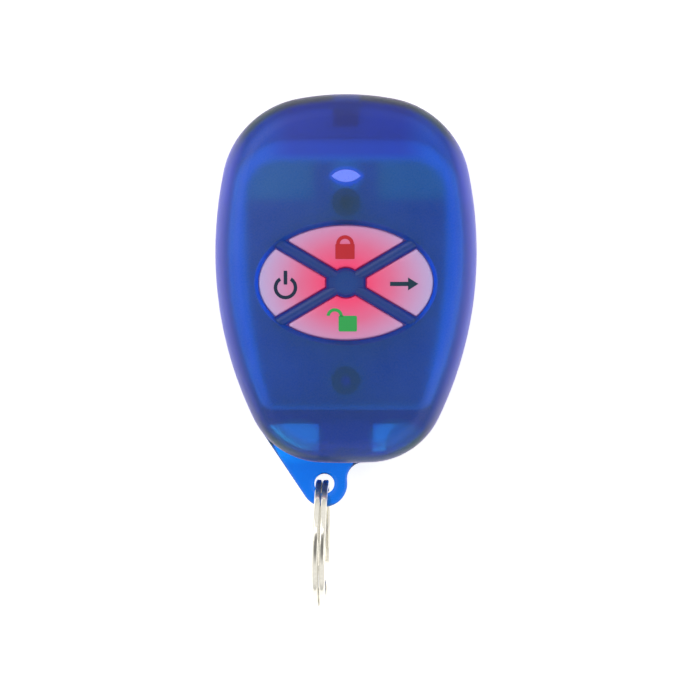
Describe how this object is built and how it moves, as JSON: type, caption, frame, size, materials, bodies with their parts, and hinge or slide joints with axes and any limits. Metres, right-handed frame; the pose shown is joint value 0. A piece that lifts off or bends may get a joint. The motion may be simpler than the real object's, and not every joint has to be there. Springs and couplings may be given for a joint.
{
  "type": "alarm key fob",
  "caption": "Handheld alarm remote: translucent oval case, sector keys round a hub in a recess, coin cell and radio board inside, ear with a split key ring.",
  "frame": {"origin": "on the flat rest face of the rear shell, straight under the middle of the four keys", "axes": "+Z out of the front face, +Y towards the rounded end away from the key ring, +X to the right seen from the front"},
  "size_m": [0.0408, 0.0803, 0.0202],
  "materials": {
    "front_case": "frosted translucent blue-violet ABS, fine matt grain",
    "rear_case": "translucent azure plastic, satin",
    "window": "clear pale blue light pipe, polished",
    "key_rubber": "milky translucent silicone, printed icons, lit red from within",
    "mat_rubber": "milky silicone, matt",
    "carbon": "conductive carbon rubber, matt",
    "board": "green solder mask over glass laminate",
    "gold_pads": "thin gold plating",
    "led_body": "moulded white package with a clear face",
    "cell_steel": "nickel-plated steel can",
    "spring_steel": "tinned spring strip",
    "chip_black": "moulded epoxy package",
    "tin": "tinned leads",
    "copper": "copper track",
    "ceramic_chips": "ceramic chips with tinned ends",
    "screw_steel": "steel, black oxide",
    "ring_nickel": "nickel-plated spring steel, polished"
  },
  "bodies": {
    "root": {"front_shell": "front_case", "rear_shell": "rear_case", "status_window": "window", "keypad_mat": "mat_rubber", "circuit_board": "board", "contact_pads": "gold_pads", "status_led": "led_body", "backlight_led": "led_body", "coin_cell": "cell_steel", "battery_clip": "spring_steel", "battery_contact": "spring_steel", "controller_chip": "chip_black", "chip_leads": "tin", "saw_resonator": "tin", "radio_transistor": "chip_black", "tuning_capacitor": "ceramic_chips", "chip_capacitors": "ceramic_chips", "chip_resistors": "chip_black", "loop_antenna": "copper", "case_screw": "screw_steel", "lock_key_dome": "mat_rubber", "unlock_key_dome": "mat_rubber", "power_key_dome": "mat_rubber", "arrow_key_dome": "mat_rubber"},
    "lock_key": {"lock_key": "key_rubber", "lock_key_pill": "carbon"},
    "unlock_key": {"unlock_key": "key_rubber", "unlock_key_pill": "carbon"},
    "power_key": {"power_key": "key_rubber", "power_key_pill": "carbon"},
    "arrow_key": {"arrow_key": "key_rubber", "arrow_key_pill": "carbon"},
    "key_ring": {"key_ring": "ring_nickel"}
  },
  "joints": [
    {"name": "lock_key_press", "type": "slide", "parent": "root", "child": "lock_key", "axis": [0, 0, -1], "range_m": [0, 0.0008], "stiffness_N_per_m": 1500, "deforming": ["lock_key_dome"]},
    {"name": "unlock_key_press", "type": "slide", "parent": "root", "child": "unlock_key", "axis": [0, 0, -1], "range_m": [0, 0.0008], "stiffness_N_per_m": 1500, "deforming": ["unlock_key_dome"]},
    {"name": "power_key_press", "type": "slide", "parent": "root", "child": "power_key", "axis": [0, 0, -1], "range_m": [0, 0.0008], "stiffness_N_per_m": 1500, "deforming": ["power_key_dome"]},
    {"name": "arrow_key_press", "type": "slide", "parent": "root", "child": "arrow_key", "axis": [0, 0, -1], "range_m": [0, 0.0008], "stiffness_N_per_m": 1500, "deforming": ["arrow_key_dome"]},
    {"name": "ring_swing", "type": "hinge", "parent": "root", "child": "key_ring", "pos_m": [-0.00339, -0.03144, 0.0072], "axis": [0, 0, 1], "range_deg": [-90, 90]}
  ]
}
